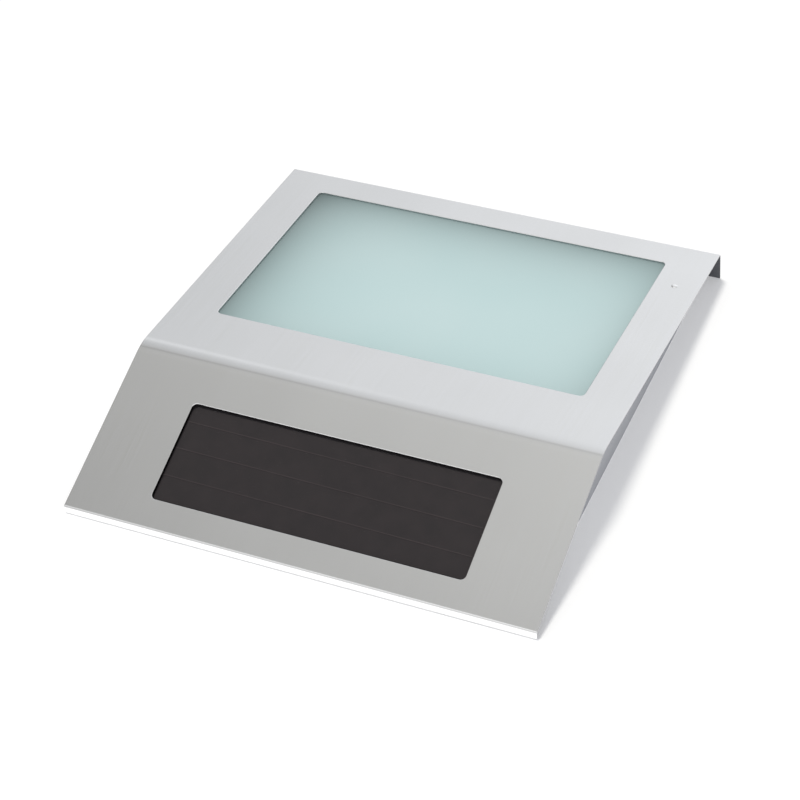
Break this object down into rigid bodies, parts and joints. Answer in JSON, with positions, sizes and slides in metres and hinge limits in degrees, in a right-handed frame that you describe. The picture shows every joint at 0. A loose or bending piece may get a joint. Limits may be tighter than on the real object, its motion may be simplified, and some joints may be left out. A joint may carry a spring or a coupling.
{
  "type": "solar house number light",
  "caption": "Wall light with a bent steel front, a lit panel for a house number, a solar panel above it and a flat back with keyholes.",
  "frame": {"origin": "middle of the back on the wall plane; the light lies on its back", "axes": "+Z out of the wall, +X to the right, -Y towards the solar end, which is the top when it hangs"},
  "size_m": [0.185, 0.199, 0.0257],
  "materials": {
    "brushed_sheet": "stainless sheet, fine brushed, satin",
    "zinc_steel": "zinc plated, semi gloss",
    "housing_plastic": "moulded ABS, fine texture",
    "cover_plastic": "moulded ABS, fine texture",
    "door_plastic": "moulded ABS, fine texture",
    "dark_plastic": "moulded ABS, satin",
    "black_plastic": "moulded, satin",
    "white_plastic": "moulded polystyrene, satin",
    "frosted_acrylic": "translucent acrylic, frosted behind, semi gloss",
    "cover_glass": "float glass, polished",
    "cell_film": "thin-film cells, very dark brown",
    "seal_foam": "closed-cell foam, matt",
    "white_laminate": "solder mask, satin",
    "green_laminate": "solder mask, satin",
    "dark_resin": "moulded resin, matt",
    "led_lens": "silicone over phosphor, gloss",
    "cell_wrap": "shrink sleeve, gloss",
    "nickel_wire": "nickel plated",
    "red_sleeve": "PVC sleeve, semi gloss",
    "grey_sleeve": "PVC sleeve, semi gloss"
  },
  "bodies": {
    "light": {"front_plate": "brushed_sheet", "plate_studs": "zinc_steel", "front_housing": "housing_plastic", "number_panel": "frosted_acrylic", "number_seal": "seal_foam", "solar_glass": "cover_glass", "solar_cells": "cell_film", "solar_seal": "seal_foam", "reflector": "white_plastic", "led_board": "white_laminate", "leds": "led_lens", "control_board": "green_laminate", "board_parts": "dark_resin", "board_screws": "zinc_steel", "switch_body": "zinc_steel", "battery_bay": "dark_plastic", "battery_cell": "cell_wrap", "battery_spring": "nickel_wire", "minus_contact": "nickel_wire", "plus_contact": "nickel_wire", "rear_cover": "cover_plastic", "cover_seal": "seal_foam", "cover_screws": "zinc_steel", "solar_leads": "red_sleeve", "led_leads": "grey_sleeve", "battery_leads": "red_sleeve", "switch_leads": "grey_sleeve"},
    "battery_door": {"battery_door": "door_plastic", "door_seal": "seal_foam", "door_screws": "zinc_steel"},
    "switch_knob": {"switch_knob": "black_plastic"}
  },
  "joints": [
    {"name": "door_lift", "type": "slide", "parent": "light", "child": "battery_door", "axis": [0, 0, -1], "range_m": [0, 0.03]},
    {"name": "switch_slide", "type": "slide", "parent": "light", "child": "switch_knob", "axis": [1, 0, 0], "range_m": [0, 0.003]}
  ]
}
